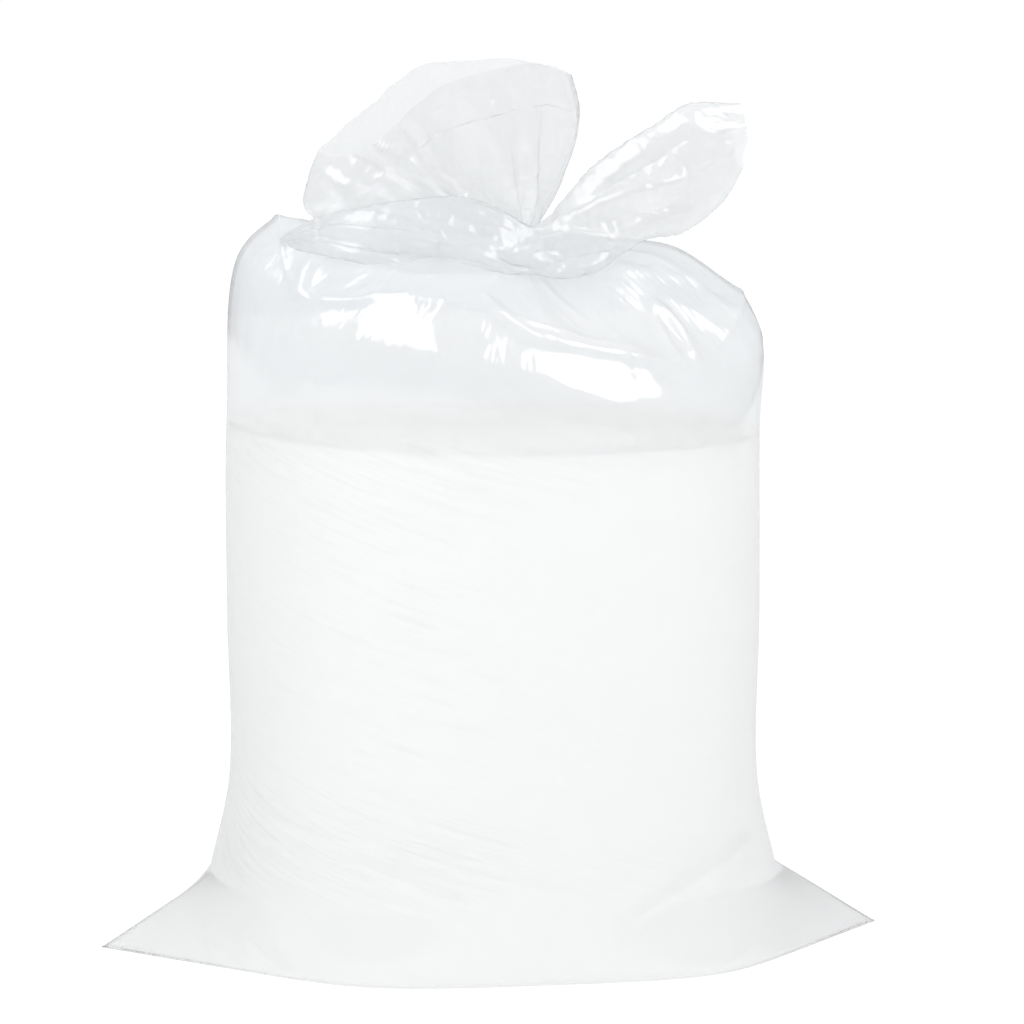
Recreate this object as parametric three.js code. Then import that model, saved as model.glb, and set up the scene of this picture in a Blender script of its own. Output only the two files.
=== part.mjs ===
// Bag of expanded polystyrene beads: one blown film tube, heat sealed straight across its bottom edge,
// filled with loose beads to well over half its length and tied shut by its own gathered top.
// Millimetres. +Z is up, X runs along the bottom seal, and the front of the bag faces -Y.
// The origin is on the floor, under the middle of the bag.

import * as THREE from "three";
import { LoftGeometry } from "three/addons/geometries/LoftGeometry.js";
import { mergeGeometries } from "three/addons/utils/BufferGeometryUtils.js";

// Film tube
const layFlatWidth = 792; // bottom seal from corner tip to corner tip, the width of the tube laid flat
const filmWall = 1; // stand-in for blown film of about 0.1

// Filled body
const bodyWidth = 530;
const bodyDepth = (4 * layFlatWidth) / Math.PI - bodyWidth; // the girth of the tube is twice its flat width
const bodySquareness = 2.2; // 2 is an ellipse, more is squarer
const waistHeight = 165;
const bellyHeight = 335;
const bellyBulge = 2; // extra width and depth where the beads press hardest

// Bottom with its two filled corners
const footDepth = 474; // between the front and back floor edges
const cornerSpreadLeft = 1.0; // slant of the floor edge towards the left corner tip, 1 is 45 degrees
const cornerSpreadRight = 0.88;
const footEdgePower = 10; // higher is a sharper turn of the floor outline
const heelBulge = 7;
const notchHeight = 71; // where the ridge of a corner meets the side of the body
const notchWidth = 570;
const notchDepth = 490;

// Beads
const fillHeight = 514; // at the film
const fillHeap = 16; // rise of the beads towards the middle
const fillSideLift = 12; // beads stand higher at the left side
const fillClearance = 0.4;
const moundRise = 3; // of the low mounds that poured beads keep on top
const moundPitch = 58; // from mound to mound
const moundLean = 0.35; // slant of their rows
const moundFade = 4; // higher keeps them up closer to the film

// Shoulders
const shoulderWidth = 521;
const shoulderDepth = 452;
const shoulderShift = 4;
const shoulderLeft = 664;
const shoulderRight = 611;
const shoulderFront = 596;
const shoulderBack = 606;
const slopeWidth = 452;
const slopeDepth = 330;
const slopeShift = -12;
const slopeLeft = 706;
const slopeRight = 664;
const slopeFront = 650;
const slopeBack = 658;

// Roll of film round the knot
const rollFootWidth = 408;
const rollFootDepth = 214;
const rollFootLeft = 722;
const rollFootRight = 679;
const rollFootFront = 678;
const rollFootBack = 684;
const rollWidth = 340;
const rollDepth = 166;
const rollShift = -32;
const rollLeft = 714;
const rollRight = 690;
const rollFront = 722;
const rollBack = 704;
const rollCrest = 22; // extra rise of the roll left of the knot
const rollCrestAngle = THREE.MathUtils.degToRad(246);
const rollCrestSpread = THREE.MathUtils.degToRad(42);

// Knot
const knotX = 40;
const knotHeight = 692; // lower end of the tied neck
const knotLength = 18;
const knotWidth = 88;
const knotDepth = 46;
const pleatCount = 12;
const pleatDepth = 5; // of the gathers round the knot

// Two loose ears above the knot
const earRootHeight = 736; // bottom of the notch between the ears
const earRootGap = 30; // front edge to back edge of the film in the notch
const leftEarReach = 216;
const leftEarRise = 144;
const leftEarPuff = 108; // front layer to back layer
const leftMouthDrop = 36; // front lip below the back lip
const rightEarReach = 208;
const rightEarRise = 96;
const rightEarPuff = 46;
const earPleatWaves = 3;
const earPleat = 5;

// Fineness of the skins
const columns = 72;
const topRows = 14; // over the top of the beads
const cornersPerFace = 3;

const around = (right, back, left, front) => (angle) => {
  const across = Math.cos(angle);
  const deep = Math.sin(angle);
  const sides = across * across * (across > 0 ? right : left);
  const faces = deep * deep * (deep > 0 ? back : front);
  return sides + faces;
};

const oval = (width, depth, power, angle) => {
  const across = Math.abs(Math.cos(angle)) / (width / 2);
  const deep = Math.abs(Math.sin(angle)) / (depth / 2);
  return (across ** power + deep ** power) ** (-1 / power);
};

const polar = (radius, angle, height, shiftX = 0) =>
  new THREE.Vector3(shiftX + radius * Math.cos(angle), radius * Math.sin(angle), height);

// Floor outline: straight front and back edges that run in to a point at each end of the bottom seal
const floorRadius = (angle) => {
  const across = Math.abs(Math.cos(angle));
  const deep = Math.max(Math.abs(Math.sin(angle)), 1e-6);
  const spread = Math.cos(angle) > 0 ? cornerSpreadRight : cornerSpreadLeft;
  const toCorner = layFlatWidth / 2 / (across + deep * spread);
  const toFace = footDepth / 2 / deep;
  return (toCorner ** -footEdgePower + toFace ** -footEdgePower) ** (-1 / footEdgePower);
};

const footRing = (share) => (angle) => {
  const notchRadius = oval(notchWidth, notchDepth, bodySquareness, angle);
  const bulge = heelBulge * Math.sin(Math.PI * Math.sqrt(share)) * Math.sin(angle) ** 2;
  const radius = THREE.MathUtils.lerp(floorRadius(angle), notchRadius, share) + bulge;
  return polar(radius, angle, share * notchHeight);
};

const bodyRing = (width, depth, height) => (angle) =>
  polar(oval(width, depth, bodySquareness, angle), angle, height);

const fillLine = around(0, 0, fillSideLift, 0);
const shoulderLine = around(shoulderRight, shoulderBack, shoulderLeft, shoulderFront);
const slopeLine = around(slopeRight, slopeBack, slopeLeft, slopeFront);
const rollFootLine = around(rollFootRight, rollFootBack, rollFootLeft, rollFootFront);
const rollLine = around(rollRight, rollBack, rollLeft, rollFront);

const fillRing = (angle) =>
  polar(oval(bodyWidth, bodyDepth, bodySquareness, angle), angle, fillHeight + fillLine(angle));
const shoulderRing = (angle) => {
  const radius = oval(shoulderWidth, shoulderDepth, bodySquareness, angle);
  return polar(radius, angle, shoulderLine(angle), shoulderShift);
};

const gather = (angle, share) => share * pleatDepth * Math.cos(pleatCount * angle);

const slopeRing = (angle) => {
  const radius = oval(slopeWidth, slopeDepth, bodySquareness, angle) + gather(angle, 0.4);
  return polar(radius, angle, slopeLine(angle), slopeShift);
};

const rollFootRing = (angle) => {
  const radius = oval(rollFootWidth, rollFootDepth, bodySquareness, angle) + gather(angle, 0.8);
  return polar(radius, angle, rollFootLine(angle), rollShift / 2);
};

const rollRing = (angle) => {
  const turn = (angle - rollCrestAngle) / rollCrestSpread;
  const crest = rollCrest * Math.exp(-turn * turn);
  const radius = oval(rollWidth, rollDepth, bodySquareness, angle) + gather(angle, 1);
  return polar(radius, angle, rollLine(angle) + crest, rollShift);
};

const knotRing = (height) => (angle) =>
  polar(oval(knotWidth, knotDepth, 2, angle) + gather(angle, 0.2), angle, height, knotX);

// Outline of one ear from its outer fold to the notch, as shares of its reach and rise
const earOutline = (reach, rise, shares) => {
  const toPoint = ([out, up]) => new THREE.Vector3(knotX + reach * out, 0, earRootHeight + rise * up);
  return new THREE.CatmullRomCurve3(shares.map(toPoint), false, "centripetal");
};

const leftLow = earOutline(
  -leftEarReach,
  leftEarRise,
  [[1.04, 0.02], [0.7, 0.18], [0.3, 0.16], [0, -0.1]],
);
const leftRim = earOutline(
  -leftEarReach,
  leftEarRise,
  [[1, 0.4], [0.53, 0.93], [0.05, 1], [-0.15, 0.78], [-0.09, 0.42], [0, 0]],
);
const rightLow = earOutline(
  rightEarReach,
  rightEarRise,
  [[0.5, -0.28], [0.5, 0.16], [0.24, 0.14], [0, -0.15]],
);
const rightRim = earOutline(
  rightEarReach,
  rightEarRise,
  [[0.92, 0], [1, 0.42], [0.98, 0.98], [0.73, 1], [0.36, 0.56], [0.12, 0.2], [0, 0]],
);

const earRing = (leftCurve, rightCurve, open, mouthDrop) => (angle) => {
  const onRight = Math.cos(angle) > 0;
  const front = Math.sin(angle) < 0;
  const share = Math.asin(Math.min(1, Math.abs(Math.sin(angle)))) / (Math.PI / 2);
  const point = (onRight ? rightCurve : leftCurve).getPointAt(share);
  const belly = Math.sin(Math.PI * share);
  const puff = (onRight ? rightEarPuff : leftEarPuff) * open;
  const pleat = earPleat * open * belly * Math.cos(2 * Math.PI * earPleatWaves * share);
  const half = (puff / 2) * belly ** 0.7 + (earRootGap / 2) * share * share + pleat;
  point.y = front ? -half : half;
  if (front && !onRight) {
    point.z -= mouthDrop * Math.sin(Math.PI * Math.sqrt(share)) ** 2;
  }
  return point;
};

const lowRing = earRing(leftLow, rightLow, 0.6, 0);
const rimRing = earRing(leftRim, rightRim, 1, leftMouthDrop);

// The skin of the tube from the floor to the cut mouth, as rings of points
const footRows = 4;
const footSkin = Array.from({ length: footRows }, (_, row) => footRing(row / footRows));
const upperStations = [
  footRing(1),
  bodyRing(bodyWidth, bodyDepth, waistHeight),
  bodyRing(bodyWidth + bellyBulge, bodyDepth + bellyBulge, bellyHeight),
  fillRing,
  shoulderRing,
  slopeRing,
  rollFootRing,
  rollRing,
  knotRing(knotHeight),
  knotRing(knotHeight + knotLength),
  lowRing,
  rimRing,
];
const spanRows = [2, 1, 1, 2, 2, 2, 2, 4, 2, 3, 4];
const fillSpans = 3;

const angles = Array.from({ length: columns }, (_, column) => (2 * Math.PI * column) / columns);
const upperCurves = angles.map(
  (angle) => new THREE.CatmullRomCurve3(upperStations.map((ring) => ring(angle)), false, "centripetal"),
);
const upperParameters = spanRows.flatMap((rows, span) =>
  Array.from({ length: rows }, (_, row) => (span + row / rows) / spanRows.length),
);
upperParameters.push(1);

const outerSkin = [
  ...footSkin.map((ring) => angles.map(ring)),
  ...upperParameters.map((parameter) => upperCurves.map((curve) => curve.getPoint(parameter))),
];
const fillRows = footRows + 1 + spanRows.slice(0, fillSpans).reduce((sum, rows) => sum + rows, 0);

const skinNormal = (row, column) => {
  const ring = outerSkin[row];
  const above = outerSkin[Math.min(row + 1, outerSkin.length - 1)][column];
  const below = outerSkin[Math.max(row - 1, 0)][column];
  const ahead = ring[(column + 1) % columns];
  const behind = ring[(column + columns - 1) % columns];
  const along = above.clone().sub(below);
  return ahead.clone().sub(behind).cross(along).normalize();
};

// The same skin moved inwards, with its floor ring where the moved wall meets the raised floor
const insetSkin = (inset, rows) => {
  const movedPoint = (point, row, column) =>
    point.clone().addScaledVector(skinNormal(row, column), -inset);
  const moved = outerSkin
    .slice(0, rows)
    .map((ring, row) => ring.map((point, column) => movedPoint(point, row, column)));
  moved[0].forEach((point, column) => {
    const above = moved[1][column];
    point.lerp(above, (inset - point.z) / (above.z - point.z));
  });
  return moved;
};

// A skin over rings of points, closed over the middle of its first ring
const middleOf = (ring) => {
  const middle = ring.reduce((sum, point) => sum.add(point), new THREE.Vector3()).divideScalar(ring.length);
  return ring.map(() => middle);
};
const skinGeometry = (rings) => new LoftGeometry([middleOf(rings[0]), ...rings]);

const turnedInsideOut = (geometry) => {
  const index = geometry.getIndex();
  for (let corner = 0; corner < index.count; corner += cornersPerFace) {
    const first = index.getX(corner);
    index.setX(corner, index.getX(corner + 1));
    index.setX(corner + 1, first);
  }
  return geometry;
};

// Film: outer face, cut edge of the mouth and inner face
const innerSkin = insetSkin(filmWall, outerSkin.length);
const cutEdge = new LoftGeometry([outerSkin[outerSkin.length - 1], innerSkin[innerSkin.length - 1]]);
const filmMaterial = new THREE.MeshStandardMaterial({
  name: "milky_film",
  color: 0xe6ebee,
  roughness: 0.22,
  transparent: true,
  opacity: 0.55,
});
const filmGeometry = mergeGeometries([
  skinGeometry(outerSkin),
  cutEdge,
  turnedInsideOut(skinGeometry(innerSkin)),
]);
const bagFilm = new THREE.Mesh(filmGeometry, filmMaterial);
bagFilm.name = "bag_film";

// Beads: the inside of the film up to the fill line, heaped a little towards the middle, with low mounds
const moundAt = (x, y) => {
  const turn = (2 * Math.PI) / moundPitch;
  return moundRise * Math.sin(turn * (x + moundLean * y)) * Math.cos(turn * (y - moundLean * x));
};
const fillSkin = insetSkin(filmWall + fillClearance, fillRows);
const fillEdge = fillSkin[fillSkin.length - 1];
const topShares = Array.from({ length: topRows }, (_, row) => 1 - (row + 1) / (topRows + 1));
const fillTop = topShares.map((share) =>
  fillEdge.map((point) => {
    const top = new THREE.Vector3(point.x * share, point.y * share, fillHeight);
    const mound = moundAt(top.x, top.y) * (1 - share ** moundFade);
    top.z += (point.z - fillHeight) * share + fillHeap * (1 - share) + mound;
    return top;
  }),
);
const beadMaterial = new THREE.MeshStandardMaterial({
  name: "polystyrene_beads",
  color: 0xf6f7f8,
  roughness: 0.85,
});
const fillRings = [...fillSkin, ...fillTop, middleOf(fillTop[fillTop.length - 1])];
const beadFill = new THREE.Mesh(skinGeometry(fillRings), beadMaterial);
beadFill.name = "bead_fill";

const bag = new THREE.Group();
bag.name = "bag_of_polystyrene_beads";
bag.add(bagFilm, beadFill);

export default bag;
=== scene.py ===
"""Dressed model of a bag of polystyrene beads.

The film of the bag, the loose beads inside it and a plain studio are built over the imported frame.
Metres, +Z up, and the front of the bag faces -Y.
"""

from __future__ import annotations

import logging
import math
from dataclasses import dataclass
from enum import Enum

import bpy
import numpy as np
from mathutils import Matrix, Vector

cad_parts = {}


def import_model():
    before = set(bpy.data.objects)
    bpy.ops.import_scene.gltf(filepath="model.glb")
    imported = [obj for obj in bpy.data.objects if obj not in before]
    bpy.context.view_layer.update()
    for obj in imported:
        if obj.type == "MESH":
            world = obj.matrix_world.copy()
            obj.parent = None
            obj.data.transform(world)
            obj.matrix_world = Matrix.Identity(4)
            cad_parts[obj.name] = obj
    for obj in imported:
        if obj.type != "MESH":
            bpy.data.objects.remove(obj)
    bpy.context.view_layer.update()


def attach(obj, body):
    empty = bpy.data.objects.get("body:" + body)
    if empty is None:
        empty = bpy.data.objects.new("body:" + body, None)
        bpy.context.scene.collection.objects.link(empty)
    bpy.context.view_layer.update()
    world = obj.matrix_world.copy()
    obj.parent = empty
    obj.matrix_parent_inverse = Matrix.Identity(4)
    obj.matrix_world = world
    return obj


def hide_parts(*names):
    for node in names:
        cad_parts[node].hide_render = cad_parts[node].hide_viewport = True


LOG = logging.getLogger("bead_bag")
FACING_ZONE = (-0.05, 0.3)

FloatArray = np.ndarray
Point = tuple[float, float, float]


class FilmZone(Enum):
    """Stretches of the one film tube, with the place of each on its UV map."""

    BODY = 0.0
    SWATHE = 2.0
    LEFT_EAR = 3.0


class LampRole(Enum):
    """What each studio lamp is for."""

    LEFT_TOP = "left_overhead_softbox"
    RIGHT_TOP = "right_overhead_softbox"
    FRONT = "front_fill"
    TOP = "top_fill"
    LEFT_SIDE = "left_side_fill"
    RIGHT_SIDE = "right_side_fill"


def smooth_through(stations: FloatArray, parameters: FloatArray) -> FloatArray:
    """Pass a centripetal curve through stations.

    Args:
        stations: Points in order, shape (count, ..., axes).
        parameters: Places to read, from 0 to 1 over equal spans.

    Returns:
        Points of the curve, shape (len(parameters), ..., axes).
    """
    padded = np.concatenate(
        [2 * stations[:1] - stations[1:2], stations, 2 * stations[-1:] - stations[-2:-1]]
    )
    gaps = np.sqrt(np.linalg.norm(np.diff(padded, axis=0), axis=-1, keepdims=True))
    gaps = np.maximum(gaps, 1e-6)
    spans = len(stations) - 1
    place = np.clip(parameters, 0, 1) * spans
    span = np.minimum(place.astype(int), spans - 1)
    share = (place - span).reshape(-1, *([1] * (stations.ndim - 1)))
    before, first, second, after = (padded[span + step] for step in range(4))
    gap_in, gap, gap_out = (gaps[span + step] for step in range(3))
    across = (second - first) / gap
    lead = ((first - before) / gap_in - (second - before) / (gap_in + gap) + across) * gap
    trail = (across - (after - first) / (gap + gap_out) + (after - second) / gap_out) * gap
    square, cube = share**2, share**3
    return (
        (2 * cube - 3 * square + 1) * first
        + (cube - 2 * square + share) * lead
        + (3 * square - 2 * cube) * second
        + (cube - square) * trail
    )


def curve_points(points: tuple[Point, ...], shares: FloatArray) -> FloatArray:
    """Read a smooth curve through a few points at shares of its length.

    Args:
        points: The points that the curve passes.
        shares: Places from 0 to 1, even along the curve.

    Returns:
        Points of the curve, shape (len(shares), 3).
    """
    fine = smooth_through(np.array(points, float), np.linspace(0, 1, 400))
    steps = np.linalg.norm(np.diff(fine, axis=0), axis=1)
    walked = np.concatenate([[0], np.cumsum(steps)])
    walked /= walked[-1]
    return np.stack([np.interp(shares, walked, fine[:, axis]) for axis in range(3)], axis=1)


def eased(values: tuple[float, ...], shares: FloatArray) -> FloatArray:
    """Read evenly spaced values with soft steps between them.

    Args:
        values: The values, evenly spaced from 0 to 1.
        shares: Places from 0 to 1.

    Returns:
        One value for each share.
    """
    stations = np.array(values, float).reshape(-1, 1)
    return smooth_through(stations, np.asarray(shares, float))[:, 0]


def grid_normals(grid: FloatArray) -> FloatArray:
    """Outward normals of a grid that wraps round in its columns.

    Args:
        grid: Points, shape (rows, columns, 3).

    Returns:
        Unit normals of the same shape.
    """
    along = np.gradient(grid, axis=0)
    across = np.roll(grid, -1, axis=1) - np.roll(grid, 1, axis=1)
    normal = np.cross(across, along)
    return normal / np.maximum(np.linalg.norm(normal, axis=-1, keepdims=True), 1e-9)


def soft_step(value: FloatArray, low: float, high: float) -> FloatArray:
    """Rise smoothly from 0 at low to 1 at high."""
    share = np.clip((value - low) / (high - low), 0, 1)
    return share * share * (3 - 2 * share)


@dataclass
class FilmNoise:
    """Seeded gradient noise in three dimensions, for folds that follow no rule."""

    seed: int
    table_size: int = 256

    def __post_init__(self) -> None:
        """Draw the table of slopes once."""
        draw = np.random.default_rng(self.seed)
        self._order = np.tile(draw.permutation(self.table_size), 3)
        slopes = draw.normal(size=(self.table_size, 3))
        self._slopes = slopes / np.linalg.norm(slopes, axis=1, keepdims=True)

    def at(self, places: FloatArray) -> FloatArray:
        """Read the noise.

        Args:
            places: Points, shape (..., 3), in units of one noise cell.

        Returns:
            Values of about -0.7 to 0.7, shape (...).
        """
        flat = places.reshape(-1, 3)
        cell = np.floor(flat).astype(int)
        inside = flat - cell
        fade = inside**3 * (inside * (inside * 6 - 15) + 10)
        total = np.zeros(len(flat))
        for corner in range(8):
            step = np.array([corner & 1, corner >> 1 & 1, corner >> 2 & 1])
            index = (cell + step) % self.table_size
            mixed = self._order[self._order[index[:, 0]] + index[:, 1]] + index[:, 2]
            slope = self._slopes[self._order[mixed] % self.table_size]
            weight = np.prod(np.where(step, fade, 1 - fade), axis=1)
            total += weight * np.einsum("ij,ij->i", slope, inside - step)
        return total.reshape(places.shape[:-1])

    def ridged(self, places: FloatArray) -> FloatArray:
        """Read the noise as sharp ridges between soft hollows, from about -0.5 to 0.5."""
        return 0.5 - 2 * np.abs(self.at(places))


@dataclass(frozen=True)
class FoldRing:
    """A line round the bag, given at twelve even directions from +X by way of the back."""

    reach: tuple[float, ...]
    height: tuple[float, ...]

    @staticmethod
    def around(values: tuple[float, ...], angles: FloatArray) -> FloatArray:
        """Read values that go round the bag.

        Args:
            values: One value for each direction.
            angles: Directions to read, in radians.

        Returns:
            One value for each angle.
        """
        count = len(values)
        place = angles / (2 * math.pi) * count
        span = np.floor(place).astype(int)
        share = place - span
        table = np.array(values)
        before, first, second, after = (table[(span + step) % count] for step in (-1, 0, 1, 2))
        return first + 0.5 * share * (
            second
            - before
            + share
            * (2 * before - 5 * first + 4 * second - after + share * (3 * (first - second) + after - before))
        )

    def points(self, angles: FloatArray) -> FloatArray:
        """Points of the line.

        Args:
            angles: Directions in radians.

        Returns:
            Points, shape (len(angles), 3).
        """
        reach = self.around(self.reach, angles)
        return np.stack(
            [reach * np.cos(angles), reach * np.sin(angles), self.around(self.height, angles)], axis=1
        )


@dataclass(frozen=True)
class PhotoView:
    """The camera of the photograph, and where a point of the bag falls in its picture."""

    azimuth: float = math.radians(-9)
    elevation: float = math.radians(7)
    distance: float = 4.5
    aim_height: float = 0.430
    aim_right: float = 0.019
    sensor: float = 36.0
    focal: float = 158.2
    picture: float = 1024.0

    def axes(self) -> tuple[FloatArray, FloatArray, FloatArray]:
        """Directions to the right, up and out of the picture."""
        turn, tilt = self.azimuth, self.elevation
        right = np.array([math.cos(turn), math.sin(turn), 0.0])
        out = np.array([math.sin(turn) * math.cos(tilt), -math.cos(turn) * math.cos(tilt), math.sin(tilt)])
        return right, np.cross(out, right), out

    def place(self) -> FloatArray:
        """Where the camera stands."""
        right, _, out = self.axes()
        return np.array([0.0, 0.0, self.aim_height]) + right * self.aim_right + out * self.distance

    def project(self, points: FloatArray) -> FloatArray:
        """Find where points fall in the picture.

        Args:
            points: Points of the bag, shape (..., 3).

        Returns:
            Places across and down the picture, shape (..., 2).
        """
        right, up, out = self.axes()
        offset = points - self.place()
        scale = self.picture * self.focal / self.sensor / -(offset @ out)
        middle = self.picture / 2
        return np.stack([middle + scale * (offset @ right), middle - scale * (offset @ up)], axis=-1)


class FoldForm(Enum):
    """How film stands beside a fold line."""

    RIDGE = "ridge"
    STEP = "step"


@dataclass(frozen=True)
class Fold:
    """A fold pressed along a line of the picture: a ridge, a furrow, or one layer lying over another."""

    path: tuple[tuple[float, float], ...]
    width: float
    lift: float
    form: FoldForm = FoldForm.RIDGE
    reach: float = 40.0
    taper: float = 0.5

    def rise(self, places: FloatArray) -> FloatArray:
        """How far the film moves out.

        Args:
            places: Places in the picture, shape (..., 2).

        Returns:
            Distances, shape (...).
        """
        nodes = np.array(self.path)
        lengths = np.linalg.norm(np.diff(nodes, axis=0), axis=1)
        walked = np.concatenate([[0], np.cumsum(lengths)]) / lengths.sum()
        best = np.full(places.shape[:-1], np.inf)
        share = np.zeros(places.shape[:-1])
        hand = np.ones(places.shape[:-1])
        for index, length in enumerate(lengths):
            start, run = nodes[index], nodes[index + 1] - nodes[index]
            offset = places - start
            along = np.clip(offset @ run / length**2, 0, 1)
            gap = np.linalg.norm(offset - along[..., None] * run, axis=-1)
            nearer = gap < best
            best = np.where(nearer, gap, best)
            share = np.where(nearer, walked[index] + along * (walked[index + 1] - walked[index]), share)
            turned = run[0] * offset[..., 1] - run[1] * offset[..., 0]
            hand = np.where(nearer, np.sign(turned), hand)
        ends = np.sin(math.pi * np.clip(share, 0.01, 0.99)) ** self.taper
        if self.form is FoldForm.STEP:
            side = 1 / (1 + np.exp(-np.clip(hand * best / self.width, -30, 30) * 2))
            return self.lift * ends * side * np.exp(-((best / self.reach) ** 2))
        return self.lift * ends * np.exp(-((best / self.width) ** 2))


class EarFold(Enum):
    """Folds of the left ear, in the picture's pixels, which all run down to the knot."""

    LAP = Fold(((466, 101), (477, 133), (491, 183), (506, 211)), 4.0, -0.007, FoldForm.STEP, 30.0, 0.4)
    HOLLOW = Fold(((447, 108), (452, 140), (462, 178), (500, 216)), 13.0, -0.016)
    WEDGE = Fold(((484, 100), (498, 150), (518, 224)), 10.0, 0.011)
    WEDGE_FURROW = Fold(((510, 92), (516, 150), (526, 226)), 6.0, -0.006)
    RIGHT_RIDGE = Fold(((532, 88), (534, 150), (533, 226)), 7.0, 0.007)
    RIGHT_FURROW = Fold(((550, 80), (546, 140), (538, 222)), 5.0, -0.004)
    OUTER_RIDGE = Fold(((323, 172), (345, 190), (376, 206)), 8.0, 0.008)
    LONG_FURROW = Fold(((345, 150), (390, 172), (450, 206), (500, 224)), 7.0, -0.009)
    LONG_RIDGE = Fold(((360, 138), (402, 160), (458, 198), (508, 222)), 6.0, 0.008)
    LOW_FURROW = Fold(((330, 192), (380, 200), (450, 214)), 6.0, -0.006)
    INNER_FURROW = Fold(((400, 124), (424, 156), (470, 200)), 6.0, -0.007)
    INNER_RIDGE = Fold(((420, 116), (440, 160), (478, 202)), 5.0, 0.006)


class SwatheFold(Enum):
    """Folds of the band over the knot and of the right ear, in the picture's pixels."""

    BAND_RIDGE = Fold(((318, 226), (380, 238), (440, 246), (505, 266)), 6.0, 0.006)
    BAND_FURROW = Fold(((322, 238), (400, 252), (460, 258), (505, 270)), 6.0, -0.006)
    BAND_LOW_RIDGE = Fold(((330, 252), (410, 264), (470, 266), (508, 274)), 5.0, 0.005)
    BAND_TOP_FURROW = Fold(((370, 218), (440, 222), (490, 236), (515, 256)), 6.0, -0.004)
    KNOT_HOLLOW = Fold(((495, 254), (512, 262), (535, 268)), 6.0, -0.010)
    KNOT_RIDGE = Fold(((512, 255), (541, 243), (580, 236), (612, 238)), 5.5, 0.009)
    KNOT_FURROW = Fold(((535, 268), (575, 256), (620, 250)), 6.0, -0.006)
    KNOT_LOW_RIDGE = Fold(((545, 276), (585, 268), (615, 258)), 6.0, 0.006)
    EAR_RIDGE = Fold(((560, 228), (600, 205), (650, 190), (690, 176)), 8.0, 0.008)
    EAR_FURROW = Fold(((575, 215), (620, 180), (670, 150), (700, 132)), 8.0, -0.007)
    EAR_LOW_FURROW = Fold(((600, 225), (650, 212), (700, 200)), 7.0, -0.005)
    TIP_RIDGE = Fold(((685, 120), (712, 140), (728, 165)), 8.0, 0.005)


class ShoulderFold(Enum):
    """Folds of the empty film between the beads and the knot, in the picture's pixels."""

    LEFT_DROP = Fold(((316, 254), (305, 275), (297, 304)), 8.0, 0.006)
    LEFT_BROW = Fold(((297, 303), (340, 299), (385, 299), (432, 306)), 7.0, 0.002)
    MIDDLE_BEND = Fold(((507, 277), (482, 298), (505, 319), (532, 337), (560, 346)), 7.0, 0.005)
    RIGHT_BROW = Fold(((532, 337), (600, 351), (650, 361), (697, 364)), 7.0, 0.005)
    RIGHT_CREASE = Fold(((648, 300), (667, 314), (685, 337), (698, 363)), 4.5, 0.004)
    RIGHT_LOW_CREASE = Fold(((648, 300), (660, 330), (682, 364)), 4.5, 0.003)
    LEFT_NICK = Fold(((305, 375), (325, 386), (348, 380)), 6.0, 0.003)
    TOP_RIDGE = Fold(((612, 268), (660, 268), (715, 285)), 6.0, 0.004)
    TOP_FURROW = Fold(((625, 262), (680, 272), (735, 300)), 6.0, -0.004)


class FootFold(Enum):
    """Creases in the film round the foot of the bag, in the picture's pixels."""

    LONG_CREASE = Fold(((234, 794), (274, 820), (317, 836), (381, 847), (462, 869)), 5.0, 0.0012)
    BUNCH_FURROW = Fold(((330, 846), (375, 858), (430, 868)), 4.0, -0.0010)
    BUNCH_RIDGE = Fold(((340, 857), (400, 880), (458, 905)), 5.0, 0.0014)
    RIGHT_CREASE = Fold(((755, 835), (725, 860), (690, 885), (635, 918)), 6.0, 0.0022)
    LEFT_CORNER_OUTER = Fold(((205, 925), (216, 945), (232, 965)), 6.0, 0.003)
    LEFT_CORNER_INNER = Fold(((250, 935), (270, 960), (298, 983)), 7.0, 0.004)
    RIGHT_CORNER = Fold(((756, 940), (742, 955), (728, 966)), 6.0, 0.003)


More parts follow.
